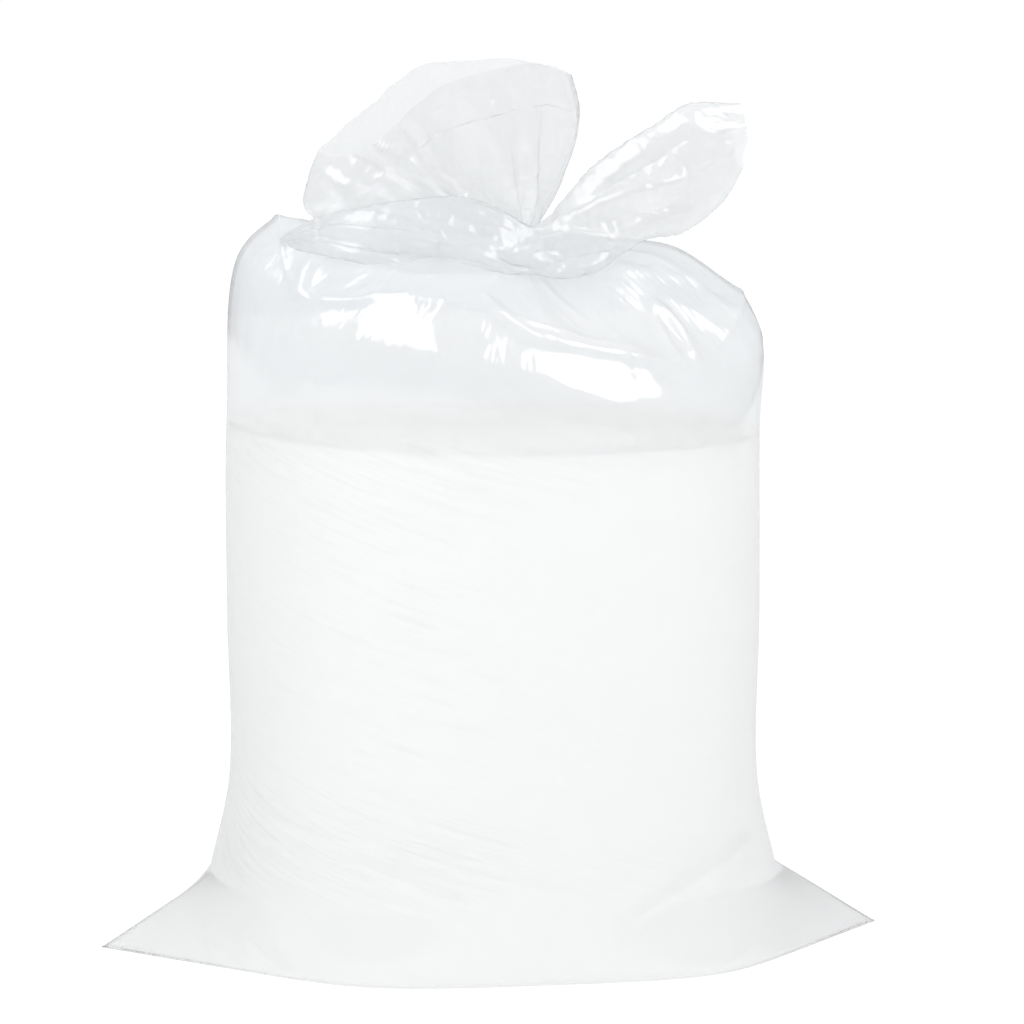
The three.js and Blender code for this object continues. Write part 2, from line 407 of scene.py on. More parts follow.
@dataclass
class FilmGrid:
    """Points of one stretch of film, wrapped round in its columns, and how slack or wrinkled it is."""

    points: FloatArray
    zone: FilmZone
    closed_start: bool
    closed_end: bool
    slack: FloatArray | None = None
    crinkle: FloatArray | None = None
    wrinkle: FloatArray | None = None

    def press(self, groups: tuple[type[Enum], ...], view: PhotoView) -> None:
        """Press folds into the side that faces the camera.

        Args:
            groups: Groups of folds, placed in the picture.
            view: The camera of the picture.
        """
        folds = [member.value for group in groups for member in group]
        normals = grid_normals(self.points)
        facing = soft_step(normals @ view.axes()[2], *FACING_ZONE)
        places = view.project(self.points)
        rise = sum((fold.rise(places) for fold in folds), np.zeros(places.shape[:-1]))
        self.points = self.points + normals * (rise * facing)[..., None]

    def lengths(self) -> tuple[FloatArray, FloatArray]:
        """Lengths of film across the widest row up to each column and its end, and along it to each row."""
        turns = np.concatenate([self.points, self.points[:, :1]], axis=1)
        widths = np.linalg.norm(np.diff(turns, axis=1), axis=2)
        widest = widths[widths.sum(axis=1).argmax()]
        steps = np.linalg.norm(np.diff(self.points, axis=0), axis=2).mean(axis=1)
        return np.concatenate([[0], np.cumsum(widest)]), np.concatenate([[0], np.cumsum(steps)])

    def crumple(self, noise: FilmNoise, across: float, along: float, height: FloatArray | float) -> None:
        """Raise sharp soft-sided ridges all over the film.

        Args:
            noise: Where the ridges run.
            across: Rough distance between ridges round the tube.
            along: Rough length of a ridge along the tube.
            height: Height of the ridges, one value or one for each point.
        """
        run, rise = self.lengths()
        turn = 2 * math.pi * run[:-1] / run[-1]
        reach = run[-1] / (2 * math.pi * across)
        places = np.zeros(self.points.shape)
        places[..., 0] = reach * np.cos(turn)
        places[..., 1] = reach * np.sin(turn)
        places[..., 2] = (rise / along)[:, None]
        lift = np.asarray(height) * noise.ridged(places)
        self.points = self.points + grid_normals(self.points) * lift[..., None]


@dataclass
class FilmBody:
    """The filled part of the bag, from the sealed bottom edge to the hidden neck under the knot."""

    lay_flat_width: float = 0.792
    body_width: float = 0.530
    squareness: float = 2.2
    waist_height: float = 0.165
    belly_height: float = 0.335
    belly_bulge: float = 0.002
    fill_height: float = 0.514
    fill_side_lift: float = 0.012
    foot_depth: float = 0.474
    corner_spread_left: float = 1.0
    corner_spread_right: float = 0.88
    foot_edge_power: float = 10.0
    heel_bulge: float = 0.007
    notch_height: float = 0.071
    notch_width: float = 0.570
    notch_depth: float = 0.490
    neck_x: float = 0.020
    neck_reach: float = 0.024
    neck_height: float = 0.712
    fold_share: float = 0.1
    throat_share: float = 0.45
    shoulder_crinkle: float = 0.5
    wall_wrinkle: float = 0.3
    left_wrinkle: float = 0.9
    upper_loss: float = 0.4
    bunch_x: float = -0.10
    bunch_z: float = 0.125
    bunch_width: float = 0.07
    bunch_height: float = 0.032
    bunch_gain: float = 3.0
    left_zone: tuple[float, float] = (-0.08, 0.16)
    foot_zone: tuple[float, float] = (0.03, 0.12)
    upper_zone: tuple[float, float] = (0.22, 0.46)
    fill_zone: tuple[float, float] = (0.49, 0.54)
    slack_zone: tuple[float, float] = (0.53, 0.62)
    crinkle_zone: tuple[float, float] = (0.545, 0.63)
    back_columns: int = 80
    front_columns: int = 190
    floor_rows: int = 6
    heel_rows: int = 20
    span_rows: tuple[int, ...] = (22, 20, 20, 18, 16, 4, 4, 20, 12, 5)
    shoulder: FoldRing = FoldRing(
        reach=(0.269, 0.262, 0.247, 0.235, 0.247, 0.257, 0.251, 0.258, 0.246, 0.235, 0.245, 0.260),
        height=(0.610, 0.580, 0.575, 0.585, 0.595, 0.630, 0.691, 0.618, 0.608, 0.578, 0.552, 0.556),
    )
    brow: FoldRing = FoldRing(
        reach=(0.252, 0.235, 0.205, 0.190, 0.205, 0.235, 0.213, 0.233, 0.208, 0.195, 0.201, 0.228),
        height=(0.648, 0.622, 0.628, 0.640, 0.650, 0.680, 0.728, 0.658, 0.662, 0.638, 0.609, 0.600),
    )
    tuck: FoldRing = FoldRing(
        reach=(0.182, 0.150, 0.115, 0.100, 0.115, 0.150, 0.183, 0.178, 0.150, 0.106, 0.116, 0.140),
        height=(0.692, 0.690, 0.682, 0.680, 0.684, 0.700, 0.721, 0.692, 0.684, 0.672, 0.656, 0.672),
    )

    @property
    def body_depth(self) -> float:
        """Depth that gives the body the girth of the flat tube."""
        return 4 * self.lay_flat_width / math.pi - self.body_width

    def oval(self, width: float, depth: float, angles: FloatArray) -> FloatArray:
        """Radius of the squared oval of the body.

        Args:
            width: Size along X.
            depth: Size along Y.
            angles: Directions in radians.

        Returns:
            One radius for each angle.
        """
        across = np.abs(np.cos(angles)) / (width / 2)
        deep = np.abs(np.sin(angles)) / (depth / 2)
        return (across**self.squareness + deep**self.squareness) ** (-1 / self.squareness)

    def floor_reach(self, angles: FloatArray) -> FloatArray:
        """Radius of the floor outline, with a point at each end of the bottom seal.

        Args:
            angles: Directions in radians.

        Returns:
            One radius for each angle.
        """
        across = np.abs(np.cos(angles))
        deep = np.maximum(np.abs(np.sin(angles)), 1e-6)
        spread = np.where(np.cos(angles) > 0, self.corner_spread_right, self.corner_spread_left)
        to_corner = self.lay_flat_width / 2 / (across + deep * spread)
        to_face = self.foot_depth / 2 / deep
        power = self.foot_edge_power
        return (to_corner**-power + to_face**-power) ** (-1 / power)

    @staticmethod
    def ring(
        reach: FloatArray, angles: FloatArray, height: FloatArray | float, shift: float = 0.0
    ) -> FloatArray:
        """Points at a reach and height in each direction.

        Args:
            reach: Radius for each angle.
            angles: Directions in radians.
            height: One height, or one for each angle.
            shift: Place of the middle along X.

        Returns:
            Points, shape (len(angles), 3).
        """
        heights = np.broadcast_to(height, angles.shape)
        return np.stack([shift + reach * np.cos(angles), reach * np.sin(angles), heights], axis=1)

    def angles(self) -> FloatArray:
        """Direction of each column, closer together on the front."""
        back = np.arange(self.back_columns) / self.back_columns
        front = 1 + np.arange(self.front_columns) / self.front_columns
        return math.pi * np.concatenate([back, front])

    def heel(self, share: float) -> FloatArray:
        """A ring of the heel between the floor outline and the notch over the corners.

        Args:
            share: 0 on the floor, 1 at the notch.

        Returns:
            Points, shape (columns, 3).
        """
        angles = self.angles()
        bulge = self.heel_bulge * math.sin(math.pi * math.sqrt(share)) * np.sin(angles) ** 2
        notch = self.oval(self.notch_width, self.notch_depth, angles)
        reach = (1 - share) * self.floor_reach(angles) + share * notch + bulge
        return self.ring(reach, angles, share * self.notch_height)

    def fill_line(self, angles: FloatArray) -> FloatArray:
        """Height of the beads at the film for each direction."""
        return self.fill_height + self.fill_side_lift * np.where(np.cos(angles) < 0, np.cos(angles) ** 2, 0)

    def lower_rows(self) -> list[FloatArray]:
        """Rings of the floor and the heel."""
        floor = self.heel(0.0)
        shares = [(row + 1) / (self.floor_rows + 1) for row in range(self.floor_rows)]
        flat = [floor * np.array([share, share, 1]) for share in shares]
        return flat + [self.heel(row / self.heel_rows) for row in range(self.heel_rows)]

    def upper_stations(self) -> FloatArray:
        """Rings that the wall and the shoulders pass, shape (stations, columns, 3)."""
        angles = self.angles()
        width, depth = self.body_width, self.body_depth
        shoulder, brow, tuck = (ring.points(angles) for ring in (self.shoulder, self.brow, self.tuck))
        neck = np.array([self.neck_x, 0, self.neck_height])
        throat = tuck + (neck - tuck) * self.throat_share
        top = self.ring(np.full_like(angles, self.neck_reach), angles, self.neck_height, self.neck_x)
        bulged = self.oval(width + self.belly_bulge, depth + self.belly_bulge, angles)
        return np.stack(
            [
                self.heel(1.0),
                self.ring(self.oval(width, depth, angles), angles, self.waist_height),
                self.ring(bulged, angles, self.belly_height),
                self.ring(self.oval(width, depth, angles), angles, self.fill_line(angles)),
                shoulder,
                brow + (shoulder - brow) * self.fold_share,
                brow,
                brow + (tuck - brow) * self.fold_share,
                tuck,
                throat,
                top,
            ]
        )

    def wall_rows(self) -> FloatArray:
        """Rings of the wall, the shoulders and the neck, shape (rows, columns, 3)."""
        spans = len(self.span_rows)
        places = [
            (span + row / rows) / spans for span, rows in enumerate(self.span_rows) for row in range(rows)
        ]
        return smooth_through(self.upper_stations(), np.array(places + [1.0]))

    def wrinkles(self, points: FloatArray) -> FloatArray:
        """How wrinkled the film is where beads press on it: most at the left, and bunched over the left foot.

        Args:
            points: Points of the film, shape (rows, columns, 3).

        Returns:
            Heights of the wrinkles, as shares of the finish's own.
        """
        across, height = points[..., 0], points[..., 2]
        leftness = soft_step(-across, *self.left_zone) * (points[..., 1] < 0)
        filled = (1 - soft_step(height, *self.fill_zone)) * soft_step(height, *self.foot_zone)
        fade = 1 - self.upper_loss * soft_step(height, *self.upper_zone)
        aside = (across - self.bunch_x) / self.bunch_width
        above = (height - self.bunch_z) / self.bunch_height
        bunch = 1 + self.bunch_gain * np.exp(-(aside**2) - above**2)
        return filled * (self.wall_wrinkle + self.left_wrinkle * leftness) * fade * bunch

    def grid(self) -> FilmGrid:
        """The whole body as one grid of points, slack wherever no beads press on it."""
        points = np.concatenate([np.stack(self.lower_rows()), self.wall_rows()])
        height = points[..., 2]
        slack = soft_step(height, *self.slack_zone)
        crinkle = self.shoulder_crinkle * soft_step(height, *self.crinkle_zone)
        return FilmGrid(points, FilmZone.BODY, True, True, slack, crinkle, self.wrinkles(points))


@dataclass
class SoftTube:
    """A flattened tube of film between two edge lines, puffed up by the air in it."""

    first_edge: tuple[Point, ...]
    second_edge: tuple[Point, ...]
    mouth: tuple[Point, ...]
    puff: tuple[float, ...]
    blunt: float
    zone: FilmZone
    rows: int
    columns: int
    mouth_drop: float = 0.0
    mouth_start: float = 0.55
    crinkle: float = 0.6
    belly_power: float = 0.55

    def grid(self) -> FilmGrid:
        """The tube as a grid of points, from its hidden end to its cut mouth."""
        along = np.linspace(0, 1, self.rows)
        turn = 2 * math.pi * np.arange(self.columns) / self.columns
        across = (1 - np.cos(turn)) / 2
        first, second = curve_points(self.first_edge, along), curve_points(self.second_edge, along)
        middle = first[:, None] * (1 - across[None, :, None]) + second[:, None] * across[None, :, None]
        mouth = curve_points((self.first_edge[-1], *self.mouth, self.second_edge[-1]), across)
        bowed = mouth - (first[-1] * (1 - across[:, None]) + second[-1] * across[:, None])
        rise = soft_step(along, self.mouth_start, 1.0)
        middle = middle + rise[:, None, None] * bowed[None]
        run = np.gradient((first + second) / 2, axis=0)
        facing = np.cross(second - first, run)
        facing /= np.maximum(np.linalg.norm(facing, axis=1, keepdims=True), 1e-9)
        belly = (4 * across**self.blunt * (1 - across**self.blunt)) ** self.belly_power
        half = eased(self.puff, along)[:, None] / 2 * belly[None]
        side = np.where(np.sin(turn) >= 0, 1.0, -1.0)
        points = middle + facing[:, None] * (half * side)[..., None]
        drop = self.mouth_drop * np.sin(math.pi * np.sqrt(across)) ** 2 * (side > 0)
        points[..., 2] -= rise[:, None] * drop[None]
        ones = np.ones(points.shape[:2])
        return FilmGrid(points, self.zone, True, False, ones, self.crinkle * ones, 0 * ones)


class NodeBench:
    """A material's node tree with short calls to add and join nodes."""

    def __init__(self, material: bpy.types.Material) -> None:
        """Start with an empty tree.

        Args:
            material: The material to work on.
        """
        material.use_nodes = True
        self.tree = material.node_tree
        self.tree.nodes.clear()

    def add(self, kind: str, **inputs: object) -> bpy.types.Node:
        """Add a node.

        Args:
            kind: The node's type, without its common first word.
            inputs: Values for its sockets, with underscores for spaces.

        Returns:
            The node.
        """
        node = self.tree.nodes.new("ShaderNode" + kind)
        for name, value in inputs.items():
            node.inputs[name.replace("_", " ")].default_value = value
        return node

    def join(self, output: bpy.types.NodeSocket, target: bpy.types.NodeSocket) -> None:
        """Link two sockets."""
        self.tree.links.new(output, target)

    def math(self, operation: str, *values: bpy.types.NodeSocket | float) -> bpy.types.NodeSocket:
        """Add a Math node.

        Args:
            operation: What it does.
            values: Sockets or numbers for its inputs.

        Returns:
            Its output.
        """
        node = self.add("Math")
        node.operation = operation
        for socket, value in zip(node.inputs, values):
            if isinstance(value, (int, float)):
                socket.default_value = value
            else:
                self.join(value, socket)
        return node.outputs[0]

    def mix(
        self,
        factor: bpy.types.NodeSocket | float,
        first: bpy.types.NodeSocket,
        second: bpy.types.NodeSocket,
    ) -> bpy.types.NodeSocket:
        """Mix two shaders.

        Args:
            factor: Share of the second shader.
            first: The first shader.
            second: The second shader.

        Returns:
            The mixed shader.
        """
        node = self.add("MixShader")
        if isinstance(factor, (int, float)):
            node.inputs[0].default_value = factor
        else:
            self.join(factor, node.inputs[0])
        self.join(first, node.inputs[1])
        self.join(second, node.inputs[2])
        return node.outputs[0]


@dataclass(frozen=True)
class MilkyFilm:
    """Finish of the blown film: milky, glossy and thin enough to see the beads through, with painted shade
    that darkens its see-through tint towards the silhouettes.
    """

    name: str = "blown_milky_film"
    colour: Point = (0.93, 0.934, 0.938)
    clear_colour: Point = (0.936, 0.951, 0.967)
    # The see-through tint at grazing angles is far darker than the film's own tint: partly the longer path
    # through the film, partly painted shade that draws dark outlines along the silhouettes.
    edge_tint_and_shade: Point = (0.64, 0.67, 0.71)
    haze: float = 0.42
    edge_haze: float = 0.5
    edge_power: float = 14.0
    through: float = 0.5
    roughness: float = 0.09
    gloss_floor: float = 0.05
    gloss_edge: float = 0.5
    wall_pitch: Point = (9.0, 95.0, 1.0)
    wall_lean: float = math.radians(16)
    crinkle_pitch: Point = (48.0, 20.0, 1.0)
    bump_strength: float = 0.6
    bump_height: float = 0.003
    inner_name: str = "blown_milky_film_inside"
    inner_cover: float = 0.03

    def build(self) -> bpy.types.Material:
        """Make the material.

        Returns:
            The film's material.
        """
        material = bpy.data.materials.new(self.name)
        bench = NodeBench(material)
        output = bench.add("OutputMaterial")
        colour = (*self.colour, 1)
        body = bench.add("BsdfDiffuse", Color=colour)
        through = bench.add("BsdfTranslucent", Color=colour)
        clear = bench.add("BsdfTransparent")
        gloss = bench.add("BsdfGlossy", Roughness=self.roughness)
        facing = bench.add("LayerWeight", Blend=0.5).outputs["Facing"]
        shine = bench.math("POWER", facing, 5.0)
        shine = bench.math("MULTIPLY_ADD", shine, self.gloss_edge - self.gloss_floor, self.gloss_floor)
        edge = bench.math("POWER", facing, self.edge_power)
        haze = bench.math("MULTIPLY_ADD", edge, self.edge_haze, self.haze)
        # Towards grazing angles the see-through tint darkens to the edge tint: painted shade along the
        # silhouettes, added to the longer path through the film.
        depth = bench.add("MixRGB", Color1=(*self.clear_colour, 1), Color2=(*self.edge_tint_and_shade, 1))
        bench.join(edge, depth.inputs[0])
        bench.join(depth.outputs[0], clear.inputs["Color"])
        milk = bench.mix(self.through, body.outputs[0], through.outputs[0])
        veil = bench.mix(haze, clear.outputs[0], milk)
        skin = bench.mix(shine, veil, gloss.outputs[0])
        bench.join(skin, output.inputs["Surface"])
        bump = self.bump(bench)
        for shader in (body, through, gloss):
            bench.join(bump, shader.inputs["Normal"])
        return material

    def build_inner(self) -> bpy.types.Material:
        """Make the material of the wall's inner face, which adds almost nothing to the milk of the outer one.

        Returns:
            The inner face's material.
        """
        material = bpy.data.materials.new(self.inner_name)
        bench = NodeBench(material)
        body = bench.add("BsdfDiffuse", Color=(*self.colour, 1))
        clear = bench.add("BsdfTransparent", Color=(1, 1, 1, 1))
        film = bench.mix(self.inner_cover, clear.outputs[0], body.outputs[0])
        bench.join(film, bench.add("OutputMaterial").inputs["Surface"])
        return material

    def bump(self, bench: NodeBench) -> bpy.types.NodeSocket:
        """Fine wrinkles: long ones on the filled wall, crinkles where the film is slack.

        Args:
            bench: The material's nodes.

        Returns:
            The bumped normal.
        """
        place = bench.add("UVMap")
        place.uv_map = "FilmUV"
        wrinkle, loose = (bench.add("Attribute") for _ in range(2))
        wrinkle.attribute_name, loose.attribute_name = "wrinkle", "crinkle"
        slack = bench.math("GREATER_THAN", loose.outputs["Fac"], 0.001)
        pitch = bench.add("MixRGB", Color1=(*self.wall_pitch, 1), Color2=(*self.crinkle_pitch, 1))
        bench.join(slack, pitch.inputs[0])
        turned = bench.add("Mapping", Rotation=(0, 0, self.wall_lean))
        bench.join(place.outputs[0], turned.inputs["Vector"])
        spot = bench.add("VectorMath")
        spot.operation = "MULTIPLY"
        bench.join(turned.outputs[0], spot.inputs[0])
        bench.join(pitch.outputs[0], spot.inputs[1])
        noise = bench.add("TexNoise", Scale=1.0, Detail=2.0)
        bench.join(spot.outputs[0], noise.inputs["Vector"])
        swell = bench.math("SUBTRACT", noise.outputs["Fac"], 0.5)
        crease = bench.math("MULTIPLY", bench.math("ABSOLUTE", swell), loose.outputs["Fac"])
        height = bench.math("MULTIPLY", swell, wrinkle.outputs["Fac"])
        height = bench.math("MULTIPLY_ADD", crease, -2.0, height)
        bump = bench.add("Bump", Strength=self.bump_strength, Distance=self.bump_height)
        bench.join(height, bump.inputs["Height"])
        return bump.outputs["Normal"]


@dataclass(frozen=True)
class PolystyreneBeads:
    """Finish of the beads: matt white foam with a fine grain of packed spheres."""

    name: str = "packed_polystyrene_beads"
    colour: Point = (0.99, 0.974, 0.953)
    roughness: float = 0.8
    bead_pitch: float = 0.005
    bump_strength: float = 0.5
    bump_height: float = 0.002

    def build(self) -> bpy.types.Material:
        """Make the material.

        Returns:
            The beads' material.
        """
        material = bpy.data.materials.new(self.name)
        bench = NodeBench(material)
        output = bench.add("OutputMaterial")
        body = bench.add("BsdfPrincipled", Base_Color=(*self.colour, 1), Roughness=self.roughness)
        place = bench.add("TexCoord")
        cells = bench.add("TexVoronoi", Scale=1 / self.bead_pitch)
        bench.join(place.outputs["Object"], cells.inputs["Vector"])
        bump = bench.add("Bump", Strength=self.bump_strength, Distance=self.bump_height)
        bump.invert = True
        bench.join(cells.outputs["Distance"], bump.inputs["Height"])
        bench.join(bump.outputs["Normal"], body.inputs["Normal"])
        bench.join(body.outputs[0], output.inputs["Surface"])
        return material


@dataclass
class FilmBag:
    """The film of the bag: one tube, sealed below, tied above, with two loose ears."""

    body: FilmBody
    swathe: SoftTube
    left_ear: SoftTube
    view: PhotoView
    finish: MilkyFilm
    ear_finish_with_shade: MilkyFilm
    wall: float = 0.0004
    spare_film: float = 0.03
    hold: float = 0.35
    crumple_seed: int = 11
    shoulder_crumples: tuple[Point, ...] = ((0.07, 0.15, 0.003), (0.028, 0.07, 0.0006))
    ear_crumples: tuple[Point, ...] = ((0.045, 0.18, 0.006), (0.020, 0.07, 0.0014))
    settle_frames: int = 15
    farthest: float = 0.010
    name: str = "bag_film_sheet"
    ears_name: str = "tied_ears_film"

    def body_grid(self) -> FilmGrid:
        """The filled part of the film, with the folds of its shoulders and foot."""
        body = self.body.grid()
        body.press((ShoulderFold, FootFold), self.view)
        noise = FilmNoise(self.crumple_seed)
        for across, along, height in self.shoulder_crumples:
            body.crumple(noise, across, along, height * body.slack)
        return body

    def ear_grids(self) -> list[FilmGrid]:
        """The band over the knot with the right ear, and the left ear, with their folds."""
        swathe, ear = self.swathe.grid(), self.left_ear.grid()
        swathe.press((SwatheFold,), self.view)
        ear.press((EarFold,), self.view)
        noise = FilmNoise(self.crumple_seed)
        for grid in (swathe, ear):
            for across, along, height in self.ear_crumples:
                grid.crumple(noise, across, along, height)
        return [swathe, ear]

    def settle(self, piece: bpy.types.Object) -> None:
        """Let the spare film of the ears buckle into crinkles.

        Args:
            piece: The film of the ears.
        """
        count = len(piece.data.vertices)
        group = piece.vertex_groups.new(name="held_film")
        group.add(list(range(count)), self.hold, "REPLACE")
        before = np.zeros(count * 3)
        piece.data.vertices.foreach_get("co", before)
        cloth = piece.modifiers.new("settle", "CLOTH")
        film = cloth.settings
        film.quality = 6
        film.mass = 0.05
        film.tension_stiffness = 20
        film.compression_stiffness = 20
        film.shear_stiffness = 8
        film.bending_stiffness = 0.02
        film.air_damping = 1
        film.vertex_group_mass = group.name
        film.pin_stiffness = 1
        film.shrink_min = -self.spare_film
        film.effector_weights.gravity = 0
        cloth.collision_settings.use_collision = False
        cloth.collision_settings.use_self_collision = False
        scene = bpy.context.scene
        for frame in range(1, self.settle_frames + 1):
            scene.frame_set(frame)
        select_only(piece)
        bpy.ops.object.modifier_apply(modifier=cloth.name)
        scene.frame_set(1)
        after = np.zeros(count * 3)
        piece.data.vertices.foreach_get("co", after)
        moved = (after - before).reshape(-1, 3)
        length = np.maximum(np.linalg.norm(moved, axis=1, keepdims=True), 1e-9)
        moved *= np.minimum(1, self.farthest / length)
        piece.data.vertices.foreach_set("co", (before + moved.ravel()))
        piece.data.update()
        piece.vertex_groups.clear()
        LOG.info("film settled by %.1f mm on average", 1000 * float(length.mean()))

    def build(self) -> tuple[bpy.types.Object, bpy.types.Object]:
        """Make and dress the film.

        Returns:
            The filled body, and the gathered top with its ears.
        """
        body = sheet_object(self.name, [self.body_grid()])
        ears = sheet_object(self.ears_name, self.ear_grids())
        self.settle(ears)
        for piece, finish in ((body, self.finish), (ears, self.ear_finish_with_shade)):
            piece.data.materials.append(finish.build())
            select_only(piece)
            bpy.ops.object.shade_smooth()
        body.data.materials.append(self.finish.build_inner())
        self.thicken(body)
        return body, ears

    def thicken(self, piece: bpy.types.Object) -> None:
        """Give film the thickness of its wall, on the inner side.

        Args:
            piece: The film.
        """
        select_only(piece)
        solid = piece.modifiers.new("wall", "SOLIDIFY")
        solid.thickness = self.wall
        solid.offset = -1
        solid.material_offset = 1
        bpy.ops.object.modifier_apply(modifier=solid.name)


@dataclass
class BeadFill:
    """The loose beads up to the fill line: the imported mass, and the single beads that lie on top."""

    body: FilmBody
    finish: PolystyreneBeads
    film_gap: float = 0.0012
    heap: float = 0.014
    mound_rise: float = 0.003
    mound_pitch: float = 0.058
    mound_lean: float = 0.35
    mound_fade: float = 4.0
    bead_size: float = 0.0056
    bead_spread: float = 0.22
    pitch: float = 0.0058
    scatter: float = 0.2
    sink: tuple[float, float] = (-0.5, 0.3)
    strewn_half: tuple[float, float] = (0.27, 0.25)
    strewn_rim: float = 0.24
    strewn_seed: int = 5
    top_shares: tuple[float, float] = (0.97, 0.05)
    top_rings: int = 24
    name: str = "loose_bead_fill"

    def top_height(self, spots: FloatArray, share: FloatArray | float, rim: FloatArray) -> FloatArray:
        """Height of the beads, heaped a little and with low mounds.

        Args:
            spots: Places across the bag, shape (count, 2).
            share: How far out each place lies, from 0 in the middle to 1 at the film.
            rim: Height of the beads at the film in the same direction.

        Returns:
            One height for each place.
        """
        turn = 2 * math.pi / self.mound_pitch
        across, deep = spots[:, 0], spots[:, 1]
        wave = np.sin(turn * (across + self.mound_lean * deep))
        wave = wave * np.cos(turn * (deep - self.mound_lean * across))
        mound = self.mound_rise * wave * (1 - share**self.mound_fade)
        level = self.body.fill_height
        return level + (rim - level) * share + self.heap * (1 - share) + mound

    def skin(self) -> FloatArray:
        """Inside of the film up to the fill line, shape (rows, columns, 3)."""
        grid = self.body.grid().points
        rows = self.body.floor_rows + self.body.heel_rows + sum(self.body.span_rows[:3]) + 1
        skin = grid[:rows] - grid_normals(grid)[:rows] * self.film_gap
        skin[..., 2] = np.maximum(skin[..., 2], self.film_gap)
        return skin

    def build(self) -> bpy.types.Object:
        """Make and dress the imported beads.

        Returns:
            The finished piece.
        """
        skin = self.skin()
        edge = skin[-1]
        top = []
        for share in np.linspace(*self.top_shares, self.top_rings):
            ring = edge * np.array([share, share, 1])
            ring[:, 2] = self.top_height(ring[:, :2], share, edge[:, 2])
            top.append(ring)
        points = np.concatenate([skin, np.stack(top)])
        piece = sheet_object(self.name, [FilmGrid(points, FilmZone.BODY, True, True)])
        piece.data.materials.append(self.finish.build())
        select_only(piece)
        bpy.ops.object.shade_smooth()
        return piece

    def loose_top(self, material: bpy.types.Material) -> bpy.types.Object:
        """Strew single beads over the top of the fill.

        Args:
            material: The beads' material.

        Returns:
            The finished piece, all its beads in one mesh.
        """
        draw = np.random.default_rng(self.strewn_seed)
        edge = self.skin()[-1]
        angles = np.arctan2(edge[:, 1], edge[:, 0]) % (2 * math.pi)
        order = np.argsort(angles)
        reach = np.linalg.norm(edge[order, :2], axis=1)
        half_width, half_depth = self.strewn_half
        columns = np.arange(-half_width, half_width, self.pitch)
        rows = np.arange(-half_depth, half_depth, self.pitch * math.sqrt(3) / 2)
        across, deep = np.meshgrid(columns, rows)
        across = across + (np.arange(len(rows)) % 2)[:, None] * self.pitch / 2
        spots = np.stack([across.ravel(), deep.ravel()], axis=1)
        spots += draw.normal(0, self.scatter * self.pitch, spots.shape)
        turn = np.arctan2(spots[:, 1], spots[:, 0]) % (2 * math.pi)
        limit = np.interp(turn, angles[order], reach, period=2 * math.pi)
        share = np.linalg.norm(spots, axis=1) / limit
        kept = share < 1 - 0.5 * self.bead_size / self.strewn_rim
        spots, share, turn = spots[kept], share[kept], turn[kept]
        size = self.bead_size * (1 + draw.uniform(-self.bead_spread, self.bead_spread, len(spots)))
        height = self.top_height(spots, share, self.body.fill_line(turn))
        height += draw.uniform(*self.sink, len(spots)) * self.bead_size
        centres = np.column_stack([spots, height])
        bpy.ops.object.select_all(action="DESELECT")
        bpy.ops.mesh.primitive_ico_sphere_add(subdivisions=1, radius=0.5)
        pattern = bpy.context.object
        ball = np.array([vertex.co for vertex in pattern.data.vertices])
        sides = np.array([face.vertices[:] for face in pattern.data.polygons])
        bpy.data.objects.remove(pattern)
        points = centres[:, None] + ball[None] * size[:, None, None]
        faces = sides[None] + len(ball) * np.arange(len(centres))[:, None, None]
        mesh = bpy.data.meshes.new("loose_top_beads")
        mesh.from_pydata(points.reshape(-1, 3).tolist(), [], faces.reshape(-1, 3).tolist())
        piece = bpy.data.objects.new("loose_top_beads", mesh)
        bpy.context.scene.collection.objects.link(piece)
        piece.data.materials.append(material)
        select_only(piece)
        bpy.ops.object.shade_smooth()
        return piece


@dataclass(frozen=True)
class SoftLamp:
    """A soft panel lamp, either mirrored in the film or lighting it evenly."""

    role: LampRole
    place: Point
    aim: Point
    size: tuple[float, float]
    power: float
    mirrored: bool = False

    def hang(self) -> bpy.types.Object:
        """Hang the lamp.

        Returns:
            The lamp object.
        """
        bpy.ops.object.light_add(type="AREA", location=self.place)
        lamp = bpy.context.object
        lamp.name = self.role.value
        lamp.data.shape = "RECTANGLE"
        lamp.data.size, lamp.data.size_y = self.size
        lamp.data.energy = self.power
        lamp.rotation_euler = (Vector(self.aim) - Vector(self.place)).to_track_quat("-Z", "Y").to_euler()
        lamp.visible_diffuse = not self.mirrored
        lamp.visible_glossy = self.mirrored
        return lamp


